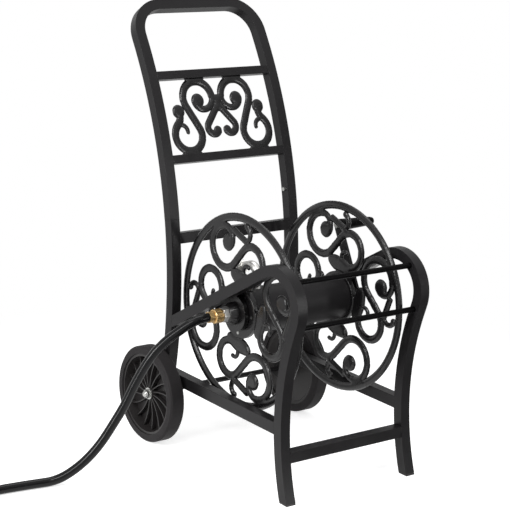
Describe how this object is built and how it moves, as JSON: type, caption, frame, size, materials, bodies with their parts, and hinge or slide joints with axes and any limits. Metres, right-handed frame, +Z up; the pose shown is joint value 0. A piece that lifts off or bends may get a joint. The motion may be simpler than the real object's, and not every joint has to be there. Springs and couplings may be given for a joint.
{
  "type": "garden hose reel cart",
  "caption": "Two-wheeled garden hose reel cart: black square-tube frame with a tall bent handle, reel between cast scroll discs, side crank, swivel inlet and leader hose.",
  "frame": {"origin": "on the floor, in the frame's middle plane, straight below the reel's axis", "axes": "+Z up, +X towards the crank (right side), +Y towards the wheels and the handle, -Y towards the front legs"},
  "size_m": [1.255, 0.7187, 1.0219],
  "materials": {
    "powder_coated_steel": "satin black powder coat on steel tube",
    "powder_coated_casting": "satin black powder coat on cast aluminium",
    "zinc_steel": "bright zinc plate",
    "chrome": "polished chrome plate",
    "brass": "machined brass",
    "tyre_rubber": "matt moulded rubber",
    "black_plastic": "matt moulded plastic",
    "grip_plastic": "smooth moulded plastic",
    "bearing_plastic": "self-lubricating plastic",
    "seal_rubber": "soft seal rubber",
    "hose_rubber": "smooth glossy black hose"
  },
  "bodies": {
    "frame": {"left_side_tube": "powder_coated_steel", "right_side_tube": "powder_coated_steel", "left_foot_cap": "black_plastic", "right_foot_cap": "black_plastic", "left_lower_rail": "powder_coated_steel", "right_lower_rail": "powder_coated_steel", "front_stretcher": "powder_coated_steel", "upper_guide_rod": "powder_coated_steel", "lower_guide_rod": "powder_coated_steel", "left_post": "powder_coated_steel", "right_post": "powder_coated_steel", "left_post_cap": "black_plastic", "right_post_cap": "black_plastic", "left_sleeve": "zinc_steel", "right_sleeve": "zinc_steel", "handle_tube": "powder_coated_steel", "handle_bolts": "zinc_steel", "rear_cross_bar": "powder_coated_steel", "panel_bottom_bar": "powder_coated_steel", "panel_top_bar": "powder_coated_steel", "scroll_panel": "powder_coated_casting", "axle": "powder_coated_steel", "axle_spacers": "powder_coated_steel", "axle_washers": "zinc_steel", "axle_cap_nuts": "zinc_steel", "left_bearing_housing": "powder_coated_casting", "right_bearing_housing": "powder_coated_casting", "left_bearing_bush": "bearing_plastic", "right_bearing_bush": "bearing_plastic", "bearing_bolts": "zinc_steel", "swivel_collar": "powder_coated_casting", "swivel_seals": "seal_rubber", "inlet_nipple": "chrome", "hose_nut": "brass", "hose_washer": "seal_rubber", "hose_ferrule": "brass", "leader_hose": "hose_rubber", "leader_coil": "hose_rubber", "coil_tie": "seal_rubber", "supply_ferrule": "brass"},
    "reel": {"drum": "powder_coated_steel", "left_disc": "powder_coated_casting", "right_disc": "powder_coated_casting", "left_disc_screws": "zinc_steel", "right_disc_screws": "zinc_steel", "swivel_tube": "brass", "outlet_elbow": "chrome", "crank_shaft": "zinc_steel", "crank_arm": "powder_coated_steel", "crank_nut": "zinc_steel", "grip_pin": "zinc_steel", "grip_nut": "zinc_steel"},
    "grip": {"crank_grip": "grip_plastic"},
    "left_wheel": {"left_tyre": "tyre_rubber", "left_wheel_hub": "black_plastic", "left_wheel_bush": "bearing_plastic"},
    "right_wheel": {"right_tyre": "tyre_rubber", "right_wheel_hub": "black_plastic", "right_wheel_bush": "bearing_plastic"},
    "tap_nut": {"supply_nut": "brass"}
  },
  "joints": [
    {"name": "reel_spin", "type": "hinge", "parent": "frame", "child": "reel", "pos_m": [0, 0, 0.3686], "axis": [1, 0, 0], "continuous": true},
    {"name": "grip_spin", "type": "hinge", "parent": "reel", "child": "grip", "pos_m": [0.25, 0.07887, 0.51694], "axis": [1, 0, 0], "continuous": true},
    {"name": "left_wheel_spin", "type": "hinge", "parent": "frame", "child": "left_wheel", "pos_m": [-0.2158, 0.24182, 0.1155], "axis": [1, 0, 0], "continuous": true},
    {"name": "right_wheel_spin", "type": "hinge", "parent": "frame", "child": "right_wheel", "pos_m": [0.2158, 0.24182, 0.1155], "axis": [1, 0, 0], "continuous": true},
    {"name": "tap_nut_spin", "type": "hinge", "parent": "frame", "child": "tap_nut", "pos_m": [-0.902, 0.37661, 0.04788], "axis": [0, 0.9613, 0.2756], "continuous": true}
  ]
}
